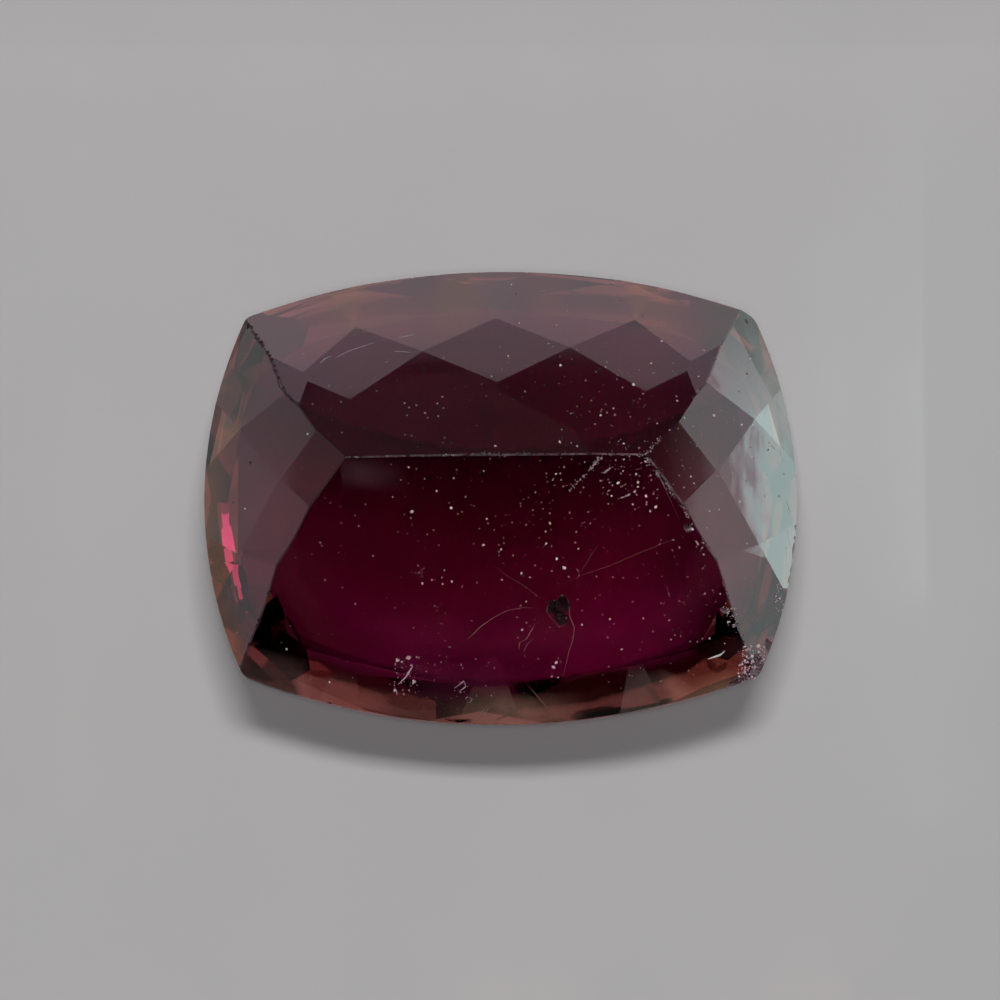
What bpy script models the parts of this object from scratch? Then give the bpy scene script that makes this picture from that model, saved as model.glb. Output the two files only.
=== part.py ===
"""Cushion-cut tourmaline, a single loose stone lying on its table with the keel of its pavilion up.

Frame: +X along the stone, +Y across it, +Z up. The origin is under the middle of the keel, on the
surface that the table lies on. The stone is cut as on a faceting machine: a cushion-shaped blank with
an upright girdle wall is trimmed by one plane for each facet, and then its edges are worn and chipped.
It is shaped in millimetres, with the middle of the keel at zero, and the finished mesh is in metres.
"""

import math
import random

import bmesh
import bpy
import numpy as np
from mathutils import Matrix, Vector

METRES_PER_MM = 0.001

# Driving dimensions of the outline
LENGTH = 11.0
WIDTH = 8.54
LONG_SIDE_RADIUS = 13.2
SHORT_SIDE_RADIUS = 8.0
CORNER_RADIUS = 0.30
KEEL_OFFSET = Vector((-0.04, 0.07))

# Driving heights, from the table up
CROWN_HEIGHT = 1.25
GIRDLE_THICKNESS = 0.25
PAVILION_DEPTH = 3.40
KEEL_HEIGHT = CROWN_HEIGHT + GIRDLE_THICKNESS + PAVILION_DEPTH

# Pavilion rows on the long sides, from the girdle to the keel. Each group has its tilt and its facets,
# as their azimuths from the side's outward direction and their distances from the middle of the keel.
LONG_SIDE_ROWS = (
    ("girdle row", 44.3, ((4.3, 0.535), (15.9, 0.82))),
    ("outer lozenges", 40.0, ((0.0, 0.26), (10.5, 0.393), (29.7, 0.96))),
    ("inner lozenges", 35.7, ((5.6, 0.12), (19.8, 0.456))),
    ("keel facet", 31.2, ((0.0, 0.0),)),
    ("keel ends", 34.0, ((8.5, 0.135),)),
)
# Pavilion rows on the short sides
SHORT_SIDE_ROWS = (
    ("girdle row", 53.9, ((0.0, 2.38), (17.0, 2.49))),
    ("lozenges", 49.6, ((6.35, 2.09),)),
    ("end facet", 45.6, ((0.0, 1.85),)),
)
# Small triangles between the girdle row's facets, cut until they touch the corner above them
LONG_SIDE_TRIANGLES = (45.2, (0.0, 10.1))
SHORT_SIDE_TRIANGLES = (57.5, (8.5,))

# The cutter's slips: how far each side's facets are turned, in degrees, slid along it and lifted
SIDES = {
    "back": {"out": Vector((0, 1)), "along": Vector((1, 0)), "turn": -1.5, "slide": 0.02, "lift": -0.02},
    "front": {"out": Vector((0, -1)), "along": Vector((1, 0)), "turn": -1.2, "slide": -0.07, "lift": -0.01},
    "left": {"out": Vector((-1, 0)), "along": Vector((0, 1)), "turn": -0.4, "slide": -0.15, "lift": 0.0},
    "right": {"out": Vector((1, 0)), "along": Vector((0, 1)), "turn": 1.2, "slide": -0.10, "lift": -0.01},
}
LONG_SIDES = ("back", "front")
SURFACES = ["wall", *SIDES, "crown", "table"]

# Crown rows: how far inside the outline and how high over the table each row's planes pass, how far
# the row is slid along X, and the facets of one quarter, as azimuths from +Y towards +X and tilts
CROWN_ROWS = (
    ("long side mains", 0.0, CROWN_HEIGHT, -0.37, ((9.0, 38.0), (22.0, 38.5))),
    ("corner and end mains", 0.0, CROWN_HEIGHT, 0.0, ((52.0, 34.0), (80.0, 38.0))),
    ("long girdle facets", 0.0, CROWN_HEIGHT + 0.04, 0.0, ((0.0, 46.0), (15.5, 46.0))),
    ("short girdle facets", 0.0, CROWN_HEIGHT + 0.04, 0.0, ((34.0, 43.0), (68.0, 44.0), (90.0, 46.0))),
    ("stars", 1.70, 0.0, 0.0, ((15.5, 22.0), (34.0, 20.0), (68.0, 20.0), (90.0, 22.0))),
)

# Wear: the narrow flat that rubbing left along the keel and the four hips
WORN_EDGE = 0.022

# Runs of nicks along the edge between two surfaces: how many, the least and the most radius, and the
# stretch of Y that they keep to
NICKED_EDGES = {
    ("back", "left"): (18, 0.030, 0.060, (1.0, 3.3)),
    ("front", "right"): (20, 0.025, 0.055, (-3.2, 0.0)),
    ("front", "left"): (10, 0.020, 0.045, (-3.2, -0.4)),
    ("back", "right"): (10, 0.020, 0.035, (0.0, 2.6)),
    ("back", "front"): (13, 0.018, 0.036, (-0.5, 0.5)),
    ("right", "wall"): (11, 0.045, 0.085, (-2.4, -0.4)),
    ("front", "wall"): (8, 0.020, 0.045, (-4.5, -3.0)),
    ("back", "wall"): (7, 0.020, 0.040, (3.0, 4.5)),
}
# Single chips and pits: place, radius along, radius across, depth, and the turn of the long way
CHIPS = {
    "front right corner": (4.78, -3.34, 0.34, 0.20, 0.19, 40.0),
    "front right corner, upper": (4.99, -2.93, 0.22, 0.12, 0.12, 65.0),
    "front right corner, lower": (4.42, -3.58, 0.24, 0.11, 0.10, 10.0),
    "hip bite": (3.40, -1.16, 0.09, 0.06, 0.06, -60.0),
    "hip bite by the corner": (4.12, -2.44, 0.11, 0.07, 0.06, -60.0),
    "back left corner": (-4.66, 3.12, 0.07, 0.05, 0.05, 20.0),
    "back right corner": (4.62, 3.20, 0.06, 0.05, 0.04, 20.0),
    "open pit": (1.16, -2.42, 0.13, 0.20, 0.16, 0.0),
    "pit by the left end": (-4.55, 0.30, 0.035, 0.03, 0.03, 0.0),
    "front girdle flake": (-0.75, -4.27, 0.30, 0.05, 0.06, 2.0),
}
NICK_SEED = 7


def arc(centre, radius, start, end, steps):
    """Points on an arc, both ends included, with the angles in radians."""
    angles = [start + (end - start) * i / steps for i in range(steps + 1)]
    return [Vector((centre.x + radius * math.cos(a), centre.y + radius * math.sin(a))) for a in angles]


def corner_centre(long_centre, short_centre):
    """Centre of the corner's arc, which touches both sides' arcs from inside."""
    reach_long = LONG_SIDE_RADIUS - CORNER_RADIUS
    reach_short = SHORT_SIDE_RADIUS - CORNER_RADIUS
    span = long_centre - short_centre
    along = (reach_short ** 2 - reach_long ** 2 + span.length_squared) / (2 * span.length)
    aside = math.sqrt(reach_short ** 2 - along ** 2)
    direction = span.normalized()
    return short_centre + direction * along + Vector((-direction.y, direction.x)) * aside


def outline():
    """The girdle's outline: four bowed sides joined by tight corners, counter-clockwise."""
    long_centre = Vector((0, WIDTH / 2 - LONG_SIDE_RADIUS))
    short_centre = Vector((LENGTH / 2 - SHORT_SIDE_RADIUS, 0))
    corner = corner_centre(long_centre, short_centre)
    short_end = math.atan2(corner.y, corner.x - short_centre.x)
    long_start = math.atan2(corner.y - long_centre.y, corner.x)
    quarter = arc(short_centre, SHORT_SIDE_RADIUS, 0, short_end, 14)
    quarter += arc(corner, CORNER_RADIUS, short_end, long_start, 4)[1:]
    quarter += arc(long_centre, LONG_SIDE_RADIUS, long_start, math.pi / 2, 20)[1:]
    half = quarter + [Vector((-p.x, p.y)) for p in reversed(quarter[:-1])]
    ring = half + [Vector((p.x, -p.y)) for p in reversed(half[1:-1])]
    return [p - KEEL_OFFSET for p in ring]


def facet_plane(side, azimuth, tilt, distance):
    """Normal and distance of a pavilion facet, measured from the middle of the keel."""
    turned = math.radians(azimuth + side["turn"])
    outward = side["out"] * math.cos(turned) + side["along"] * math.sin(turned)
    lean = math.radians(tilt)
    normal = Vector((outward.x * math.sin(lean), outward.y * math.sin(lean), math.cos(lean)))
    slid = side["along"] * side["slide"]
    return normal, distance + side["lift"] + normal.x * slid.x + normal.y * slid.y


def meeting_point(planes):
    """The point that three planes share."""
    normals = np.array([tuple(normal) for normal, _ in planes])
    distances = np.array([distance for _, distance in planes])
    return Vector(np.linalg.solve(normals, distances))


def pavilion_rows(name):
    return LONG_SIDE_ROWS if name in LONG_SIDES else SHORT_SIDE_ROWS


def both_ways(azimuth):
    return (azimuth, -azimuth) if azimuth else (azimuth,)


def pavilion_planes():
    """Every full facet above the girdle, with the name of its side."""
    planes = []
    for name, side in SIDES.items():
        for _, tilt, facets in pavilion_rows(name):
            for azimuth, distance in facets:
                for turned in both_ways(azimuth):
                    planes.append((name, *facet_plane(side, turned, tilt, distance)))
    return planes


def girdle_triangles():
    """The small triangles at the girdle, each cut down to the corner that it points at."""
    planes = []
    for name, side in SIDES.items():
        (_, outer_tilt, outer_facets), (_, inner_tilt, inner_facets), *_ = pavilion_rows(name)
        outer = {turned: distance for azimuth, distance in outer_facets for turned in both_ways(azimuth)}
        inner = {turned: distance for azimuth, distance in inner_facets for turned in both_ways(azimuth)}
        tilt, azimuths = LONG_SIDE_TRIANGLES if name in LONG_SIDES else SHORT_SIDE_TRIANGLES
        for triangle in (turned for azimuth in azimuths for turned in both_ways(azimuth)):
            before = max(azimuth for azimuth in outer if azimuth < triangle)
            after = min(azimuth for azimuth in outer if azimuth > triangle)
            above = min(inner, key=lambda azimuth: abs(azimuth - triangle))
            corner = meeting_point((
                facet_plane(side, before, outer_tilt, outer[before]),
                facet_plane(side, after, outer_tilt, outer[after]),
                facet_plane(side, above, inner_tilt, inner[above]),
            ))
            normal, _ = facet_plane(side, triangle, tilt, 0.0)
            planes.append((name, normal, normal.dot(corner)))
    return planes


def crown_planes(ring):
    """Crown facets, set in from the outline, and the table."""
    planes = []
    for _, inset, height, slide, facets in CROWN_ROWS:
        for azimuth, tilt in facets:
            turned = math.radians(azimuth)
            lean = math.radians(tilt)
            for across in (1, -1) if azimuth < 90 else (1,):
                for along in (1, -1) if azimuth > 0 else (1,):
                    outward = Vector((math.sin(turned) * along, math.cos(turned) * across))
                    reach = max(outward.dot(point) for point in ring) - inset
                    place = Vector((outward.x * reach + slide, outward.y * reach, height - KEEL_HEIGHT))
                    level = -math.cos(lean)
                    normal = Vector((outward.x * math.sin(lean), outward.y * math.sin(lean), level))
                    planes.append(("crown", normal, normal.dot(place)))
    planes.append(("table", Vector((0, 0, -1)), KEEL_HEIGHT))
    return planes


def cut(stone, surface_layer, surface, normal, distance):
    """Trim the stone by one plane and close the cut with the new facet."""
    geometry = stone.verts[:] + stone.edges[:] + stone.faces[:]
    result = bmesh.ops.bisect_plane(
        stone, geom=geometry, dist=1e-6, plane_co=normal * distance, plane_no=normal, clear_outer=True
    )
    rim = [item for item in result["geom_cut"] if isinstance(item, bmesh.types.BMEdge) and item.is_boundary]
    if rim:
        for face in bmesh.ops.edgeloop_fill(stone, edges=rim)["faces"]:
            face[surface_layer] = surface


def cut_stone():
    """The faceted stone, sharp and unworn."""
    stone = bmesh.new()
    surface_layer = stone.faces.layers.int.new("surface")
    ring = outline()
    spare = 0.5
    base = stone.faces.new([stone.verts.new((p.x, p.y, -KEEL_HEIGHT - spare)) for p in reversed(ring)])
    raised = bmesh.ops.extrude_face_region(stone, geom=[base], use_keep_orig=True)
    top = [item for item in raised["geom"] if isinstance(item, bmesh.types.BMVert)]
    bmesh.ops.translate(stone, verts=top, vec=(0, 0, KEEL_HEIGHT + 2 * spare))
    bmesh.ops.recalc_face_normals(stone, faces=stone.faces[:])
    for surface, normal, distance in pavilion_planes() + girdle_triangles() + crown_planes(ring):
        cut(stone, surface_layer, SURFACES.index(surface), normal, distance)
    bmesh.ops.recalc_face_normals(stone, faces=stone.faces[:])
    return stone


def edges_between(stone, first, second):
    """The edges where two of the stone's surfaces meet."""
    surface_layer = stone.faces.layers.int["surface"]
    wanted = {SURFACES.index(first), SURFACES.index(second)}
    return [edge for edge in stone.edges if {face[surface_layer] for face in edge.link_faces} == wanted]


def wear_edges(stone):
    """Rub the keel and the hips, where facets of two sides meet, down to narrow flats."""
    names = list(SIDES)
    pairs = [(first, second) for i, first in enumerate(names) for second in names[i + 1:]]
    worn = [edge for first, second in pairs for edge in edges_between(stone, first, second)]
    bmesh.ops.bevel(
        stone, geom=worn, offset=WORN_EDGE, offset_type="OFFSET", segments=1, profile=0.5,
        affect="EDGES", clamp_overlap=True,
    )


def place_on_edges(edges, low, high, chance):
    """A random place on a run of edges, between two values of Y, and the mean of the faces' normals."""
    lengths = [edge.calc_length() for edge in edges]
    place = Vector((0, low, 0))
    while not low < place.y < high:
        edge = chance.choices(edges, weights=lengths)[0]
        start, end = sorted(tuple(vert.co) for vert in edge.verts)
        place = Vector(start).lerp(Vector(end), chance.random())
    normal = sum((face.normal for face in edge.link_faces), Vector()).normalized()
    return place, normal


def surface_at(x, y):
    """The pavilion's point at a place, and its facet's normal there."""
    heights = [
        ((distance - normal.x * x - normal.y * y) / normal.z, normal)
        for _, normal, distance in pavilion_planes() + girdle_triangles()
    ]
    height, normal = min(heights, key=lambda found: found[0])
    return Vector((x, y, height)), normal


def add_lump(lumps, chance, centre, normal, turn, radii, detail):
    """One rough little lump to cut with, its third radius along the surface's normal."""
    made = bmesh.ops.create_icosphere(lumps, subdivisions=detail, radius=1.0)
    stand = normal.to_track_quat("Z", "Y").to_matrix() @ Matrix.Rotation(math.radians(turn), 3, "Z")
    for vert in made["verts"]:
        rough = vert.co * chance.uniform(0.78, 1.12)
        vert.co = centre + stand @ Vector([rough[i] * radii[i] for i in range(3)])


def make_cutter(stone):
    """All the lumps that the nicks, chips and pits are cut with, as one hidden object."""
    chance = random.Random(NICK_SEED)
    lumps = bmesh.new()
    for (first, second), (count, least, most, (low, high)) in NICKED_EDGES.items():
        edges = edges_between(stone, first, second)
        for _ in range(count):
            place, normal = place_on_edges(edges, low, high, chance)
            radius = chance.uniform(least, most)
            radii = (radius * chance.uniform(1.0, 1.7), radius, radius)
            add_lump(lumps, chance, place + normal * radius * 0.2, normal, chance.uniform(0, 180), radii, 1)
    for x, y, along, across, depth, turn in CHIPS.values():
        centre, normal = surface_at(x, y)
        add_lump(lumps, chance, centre, normal, turn, (along, across, depth), 2)
    cutter = object_from(lumps, "chip_cutter")
    cutter.hide_render = True
    cutter.display_type = "WIRE"
    return cutter


def object_from(shape, name):
    """An object in metres, standing on its table, from a shape in millimetres."""
    bmesh.ops.translate(shape, verts=shape.verts[:], vec=(0, 0, KEEL_HEIGHT))
    mesh = bpy.data.meshes.new(name)
    shape.to_mesh(mesh)
    shape.free()
    mesh.transform(Matrix.Scale(METRES_PER_MM, 4))
    obj = bpy.data.objects.new(name, mesh)
    bpy.context.scene.collection.objects.link(obj)
    return obj


def tourmaline_material():
    """Clear and polished, a deep purplish red."""
    material = bpy.data.materials.new("tourmaline")
    material.use_nodes = True
    shader = material.node_tree.nodes["Principled BSDF"]
    shader.inputs["Base Color"].default_value = (0.30, 0.02, 0.07, 1.0)
    shader.inputs["Roughness"].default_value = 0.02
    shader.inputs["Metallic"].default_value = 0.0
    shader.inputs["IOR"].default_value = 1.63
    shader.inputs["Transmission Weight"].default_value = 1.0
    return material


def make_stone():
    shape = cut_stone()
    cutter = make_cutter(shape)
    wear_edges(shape)
    stone = object_from(shape, "tourmaline")
    stone.data.materials.append(tourmaline_material())
    chips = stone.modifiers.new("chips", "BOOLEAN")
    chips.operation = "DIFFERENCE"
    chips.solver = "EXACT"
    chips.use_self = True
    chips.object = cutter


def clear_scene():
    for obj in list(bpy.data.objects):
        bpy.data.objects.remove(obj, do_unlink=True)


clear_scene()
make_stone()
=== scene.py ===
import math
import random

import bpy
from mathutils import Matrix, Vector
from mathutils.bvhtree import BVHTree


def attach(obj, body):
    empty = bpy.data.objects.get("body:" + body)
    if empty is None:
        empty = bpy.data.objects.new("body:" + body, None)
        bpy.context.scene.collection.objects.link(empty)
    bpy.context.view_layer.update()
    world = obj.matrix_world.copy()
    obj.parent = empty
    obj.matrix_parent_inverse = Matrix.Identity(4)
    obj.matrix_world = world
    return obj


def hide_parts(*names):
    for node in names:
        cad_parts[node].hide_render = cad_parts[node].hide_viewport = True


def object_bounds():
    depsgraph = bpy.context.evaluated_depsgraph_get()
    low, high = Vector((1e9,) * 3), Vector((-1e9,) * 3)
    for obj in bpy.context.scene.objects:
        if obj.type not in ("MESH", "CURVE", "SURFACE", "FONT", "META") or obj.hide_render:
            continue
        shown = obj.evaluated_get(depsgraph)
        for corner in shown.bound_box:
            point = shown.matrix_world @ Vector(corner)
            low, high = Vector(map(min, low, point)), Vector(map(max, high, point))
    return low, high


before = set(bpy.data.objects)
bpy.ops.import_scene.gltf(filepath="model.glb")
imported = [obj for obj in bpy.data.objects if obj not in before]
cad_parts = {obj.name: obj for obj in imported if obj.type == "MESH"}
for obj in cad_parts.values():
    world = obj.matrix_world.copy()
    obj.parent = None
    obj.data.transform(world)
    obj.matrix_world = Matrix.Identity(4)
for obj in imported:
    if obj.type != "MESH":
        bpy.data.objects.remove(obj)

MM = 0.001
cad_low, cad_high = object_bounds()
ROUGH_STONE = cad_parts["tourmaline"]

# The camera: its elevation over the floor, its distance from the keel and its lens; it aims
# a little aside of the keel's middle and below it in the picture
KEEL = Vector((0, 0, 4.9 * MM))
CAMERA_ELEVATION = math.radians(78)
CAMERA_DISTANCE = 89.4 * MM
LENS = 180.0
SENSOR = 36.0
PICTURE = 1000
AIM_ASIDE = 0.023 * MM
AIM_BELOW = 0.827 * MM
TO_CAMERA = Vector((0, -math.cos(CAMERA_ELEVATION), math.sin(CAMERA_ELEVATION)))
UP_THE_PICTURE = Vector((0, math.sin(CAMERA_ELEVATION), math.cos(CAMERA_ELEVATION)))

# The crystal: how it bends light, and what a metre of it takes from red, green and blue
BEND = 1.63
LOSS_PER_METRE = (222.0, 376.0, 390.0)

# The room: its light on the floor, the light that finds its way down through the stone,
# and the dome overhead as pairs of height (sine of the elevation) and radiance
AMBIENT = 0.03
BODY_LIGHT = 20.0
DOME = ((0.0, 1.8), (0.77, 1.8), (0.87, 1.7), (0.93, 1.35), (0.945, 0.8), (0.96, 0.08))
FLOOR_GAP = 0.05 * MM
FLOOR_SIZE = 800 * MM

# The softbox behind and above the stone, which casts the shadow, and the fill light beside the camera:
# place and aim in metres, size across and along, radiance
SOFTBOX = ((0.019, 0.252, 0.544), (0, -0.01, 0), (0.29, 0.115), 16.4)
FILL_LIGHT = (TO_CAMERA * 0.3, (0, 0, 0), (0.06, 0.06), 15.5)

# Where the photograph shows the keel's middle, and its pixels for a millimetre near the front edge
KEEL_PIXEL = (498.7, 453.8)
PIXELS_PER_MM = 54.5

# The table's front edge as the pavilion shows it, in millimetres from the keel: where its bow
# is lowest, how fast it rises to both sides, and how low it lies
EDGE_BOW = (0.05, 0.06, -4.235)

# How far the borders of drawn shades stray, in millimetres
STRAY = 0.14

# Colours for painted shade and light in the crystal's tint
CLEAR = (1, 1, 1, 1)
BLACK = (0.01, 0.002, 0.003)
DARK_MAROON = (0.03, 0.005, 0.006)
DULL_BROWN = (0.14, 0.16, 0.14)
SHUT = (0.003, 0.0004, 0.0004)

# Painted shade and light in the crystal's tint, for what the front edge shows of the light from below: middle
# and half size in pixels, shade, turn
CORNER_PATCHES = (
    ((256, 640), (18, 40), (0.16, 0.01, 0.02), 20),
    ((280, 640), (15, 25), BLACK, 15),
    ((291.5, 628), (5, 19), (0.03, 0.002, 0.02), 29),
    ((281, 671), (16, 9), (0.03, 0.03, 0.026), -40),
    ((710, 633), (4, 10), (0.08, 0.005, 0.05), -20),
    ((255, 657), (12, 18), (1.0, 0.7, 0.95), -25),
    ((266, 694), (33, 27), (0.03, 0.03, 0.026), 0),
    ((733, 636), (19, 19), (0.2, 0.07, 0.08), 0),
)
EDGE_PATCHES = (
    ((585, 692), (28, 10), DARK_MAROON, 10),
    ((595, 681), (35, 8), (0.02, 0.001, 0.004), 9),
    ((385, 683), (32, 8), (0.05, 0.002, 0.025), -11),
    ((425, 708), (33, 8), (0.35, 0.3, 0.3), -8),
    ((450, 717), (58, 7), (0.55, 0.75, 0.7), 0),
    ((402, 701), (17, 8), (0.35, 0.2, 0.2), -10),
    ((313, 669), (18, 7), (0.3, 0.06, 0.08), -16),
    ((592, 713), (24, 5.5), DARK_MAROON, 14),
    ((508, 714), (16, 1.6), DARK_MAROON, 28),
    ((716, 672), (30, 15), (0.6, 0.33, 0.2), 20),
    ((711, 665), (4, 8), (0.12, 0.04, 0.03), 40),
    ((722, 668), (8, 3), (0.14, 0.05, 0.03), 35),
    ((654, 694), (4, 12), (0.3, 0.3, 0.3), 35),
    ((630, 712), (24, 4), DULL_BROWN, 8),
)

# Painted shade where the crystal shows nothing of the pink lights, in the same terms
FLASH_BORDERS = (
    ((224, 573), (5, 13), SHUT, 21),
    ((217, 592), (9, 14), SHUT, 20),
    ((211, 553), (6, 7), SHUT, 0),
    ((212, 573), (3.5, 8), SHUT, 20),
    ((243, 577), (4, 13), SHUT, 12),
    ((241, 614), (5, 10), SHUT, 0),
)

# The lights that make the pink flash: name, low and high corner (along and up the right side,
# in millimetres) and radiance
FLASH_CARDS = (
    ("flash_front", (1.8, 0.85), (2.4, 1.4), 0.5),
    ("flash_back", (2.4, 1.06), (2.72, 1.24), 0.5),
    ("flash_faint", (2.4, 0.85), (2.8, 1.06), 0.13),
    ("flash_upper", (2.46, 1.45), (2.78, 1.9), 0.5),
    ("flash_tip", (2.95, 0.78), (3.48, 0.93), 0.5),
    ("flash_end", (3.02, 0.98), (3.3, 1.07), 0.4),
)

# Faint maroon lights in front, above the haze: from and to, in millimetres aside, and radiance
MAROON_GLIMMERS = (
    (-2.6, 0.9, (0.027, 0.003, 0.009)),
    (5.8, 7.6, (0.02, 0.006, 0.007)),
)

# Flaws of the stone, as pixels of the photograph
# Fields of dust: left top corner, right bottom corner, number of grains
SPECK_FIELDS = (
    ((600, 400), (760, 640), 200),
    ((500, 450), (600, 640), 150),
    ((400, 440), (500, 700), 120),
    ((480, 340), (760, 400), 75),
    ((560, 400), (650, 450), 30),
    ((300, 330), (480, 440), 40),
    ((300, 450), (400, 690), 35),
    ((210, 480), (300, 700), 14),
    ((600, 640), (740, 690), 25),
    ((440, 275), (760, 340), 25),
    ((600, 459), (664, 512), 70),
)

# Worn edges, scratches and lines
KEEL_WEAR = ((345, 457), (420, 456), (500, 453), (592, 454), (645, 456))
HIP_WEAR = ((646, 457), (657, 474), (668, 489), (680, 505), (688, 518))
BACK_HIP_WEAR = ((646, 454), (653, 445), (662, 437))
KEEL_BRANCH = ((601, 457), (595, 463), (589, 470), (580, 480), (567, 493))
KEEL_STROKES = (((603, 473), (609, 469), (615, 465)), ((621, 498), (627, 495), (633, 493)))
# Painted highlights: pale grains laid where the keel shows glints
KEEL_GLINTS = (
    (638, 482), (636, 474), (646, 496), (656, 507),
    (618, 483), (560, 442), (564, 568), (412, 512),
)
SCRATCHES = (
    ((334, 358), (347, 352), (361, 347), (375, 342)),
    ((393, 352), (403, 352), (410, 353)),
    ((398, 338), (408, 336), (414, 335)),
    ((321, 363), (325, 359), (331, 356)),
)
NET_LINES = (
    ((560, 585), (585, 574), (610, 565), (640, 553), (674, 538)),
    ((540, 598), (523, 585), (508, 576), (493, 566)),
    ((575, 590), (580, 575), (590, 560), (600, 540)),
)
LEFT_HIP = (
    (247, 322), (252, 330), (256, 338), (263, 347), (268, 356),
    (273, 366), (276, 377), (281, 389), (290, 397), (300, 405),
)
LEFT_GIRDLE_NICKS = (((233, 432), (239, 427)), ((248, 438), (249, 443)))

# The fracture below the pit, the feathers and the pit itself; the pit's grains with their radius
FRACTURE = (
    (567, 597), (569, 606), (569, 615), (574, 627), (572, 640),
    (569, 651), (564, 672), (557, 689), (550, 700),
)
FRACTURE_ARC = ((468, 639), (474, 633), (481, 627), (494, 617), (506, 611), (522, 608), (540, 608))
FEATHERS = (
    ((519, 650), (520, 643), (527, 639), (531, 630), (534, 624)),
    ((524, 652), (527, 645), (533, 638)),
    ((477, 717), (486, 708), (494, 698), (503, 689)),
    ((482, 716), (490, 706), (497, 698)),
    ((512, 701), (516, 694), (522, 700)),
)
CAVITY = ((553, 604, 0.1), (558, 612, 0.13), (562, 619, 0.11), (550, 610, 0.08))
CAVITY_RIM = ((548, 603), (546, 610), (550, 618), (558, 626), (564, 628), (571, 622))

# Bright inclusions near the front edge; the cluster's splinters with their size in pixels
CLUSTER = (
    ((397, 660), 3.4),
    ((402, 662), 2.6),
    ((408, 657), 3.8),
    ((411, 665), 2.6),
    ((409, 674), 3.0),
    ((414, 681), 4.6),
    ((401, 682), 2.6),
    ((395, 690), 3.2),
    ((398, 677), 2.0),
    ((426, 671), 2.0),
    ((428, 663), 1.6),
    ((441, 662), 1.6),
    ((404, 694), 2.0),
)
CLUSTER_FIELD = ((393, 655), (420, 696), 40)
STRANDS = (
    ((398, 685), (402, 681), (406, 677), (409, 672), (413, 665)),
    ((394, 687), (396, 691), (397, 695)),
    ((455, 688), (460, 684), (464, 682), (465, 687), (459, 691)),
    ((435, 679), (434, 682)),
    ((465, 699), (468, 697), (472, 699), (470, 702), (466, 701)),
)
SPARK = ((554, 667), (556, 662), (558, 658), (552, 676), (558, 677))
# A painted highlight: a pale thread where the right corner shows a glint
CORNER_GLINT = ((708, 659), (714, 657), (720, 655), (725, 651))

# Milky clouds: a field of grains, the smallest and largest radius, and how deep they lie at most
MILKY_CLOUDS = (
    (((394, 653), (426, 700), 420), (0.004, 0.014), 0.06),
    (((452, 680), (467, 694), 40), (0.008, 0.022), 0.04),
    (((411, 567), (423, 579), 34), (0.008, 0.022), 0.04),
    (((500, 640), (545, 705), 90), (0.006, 0.02), 0.1),
    (((425, 650), (450, 672), 50), (0.006, 0.02), 0.1),
    (((548, 655), (562, 680), 30), (0.006, 0.018), 0.06),
    (((420, 690), (560, 715), 70), (0.006, 0.018), 0.06),
)

# Broken places of the right corner and girdle, and dark specks in the pale right end
BROKEN_FIELDS = (
    ((742, 646), (765, 664), 100),
    ((738, 662), (755, 684), 100),
    ((775, 582), (784, 611), 45),
    ((727, 608), (737, 628), 34),
    ((685, 523), (692, 534), 12),
    ((695, 541), (704, 551), 12),
)
GIRDLE_STREAKS = (
    ((786, 500), (790, 512)),
    ((788, 532), (790, 550)),
    ((787, 552), (786, 566)),
    ((779, 450), (783, 462)),
)
DARK_SPECKS = (
    (769, 443), (772, 446), (774, 448), (768, 450), (746, 481), (745, 498),
    (759, 497), (765, 496), (779, 496), (784, 474), (786, 548),
)

# How alike the direction and reach of faces are that lie in one cut plane
SAME_DIRECTION = 0.9995
SAME_REACH = 0.012 * MM

# A plane's area over its length squared, below which it is a narrow strip, and a facet's least area
STRIP = 0.03
LEAST_FACET = 0.05 * MM * MM

# Where the strips and chips lie: the keel's half length, the least height of the rubbed edges,
# of the left hips' nicks and of the bites, and where the right back hip and the right chips begin
KEEL_HALF = 2.4 * MM
RUBBED_FROM = 4.05 * MM
NICKS_FROM = 1.8 * MM
BITES_FROM = 1.9 * MM
BACK_HIP = (2.75 * MM, 0.05 * MM)
RIGHT_CHIPS = 3 * MM

# A thread's tip against its middle, and how much the first step widens it again
TIP = 0.3
WIDENING = 3.0

SEED = 11


def deselect():
    bpy.ops.object.select_all(action="DESELECT")


# Material nodes

def add_node(made, kind, sockets=(), **settings):
    """Adds a node; each socket is given a plain value or another node's output."""
    node = made.node_tree.nodes.new("ShaderNode" + kind)
    for setting, value in settings.items():
        setattr(node, setting, value)
    for socket, value in dict(sockets).items():
        if isinstance(value, bpy.types.NodeSocket):
            made.node_tree.links.new(value, node.inputs[socket])
        else:
            node.inputs[socket].default_value = value
    return node


def place_on(made):
    """Object coordinates, which are the stone's own and the room's."""
    return add_node(made, "TexCoord").outputs["Object"]


def along(made, place, direction):
    """How far a place is along a direction."""
    node = add_node(made, "VectorMath", {0: place, 1: direction}, operation="DOT_PRODUCT")
    return node.outputs["Value"]


def arithmetic(made, operation, *values):
    """One step of plain arithmetic."""
    node = add_node(made, "Math", dict(enumerate(values)), operation=operation)
    return node.outputs["Value"]


def spread(made, value, low, high, to_low=0.0, to_high=1.0):
    """Stretches low to high over to_low to to_high and stops at both ends."""
    sockets = {"Value": value, "From Min": low, "From Max": high, "To Min": to_low, "To Max": to_high}
    return add_node(made, "MapRange", sockets).outputs["Result"]


def grain(made, place, size, detail=2.0, stretch=(1, 1, 1), rough=0.5):
    """Cloudy noise, size across one cloud."""
    mapped = add_node(made, "Mapping", {"Vector": place, "Scale": stretch}).outputs["Vector"]
    sockets = {"Vector": mapped, "Scale": 1 / size, "Detail": detail, "Roughness": rough}
    return add_node(made, "TexNoise", sockets).outputs["Fac"]


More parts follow.
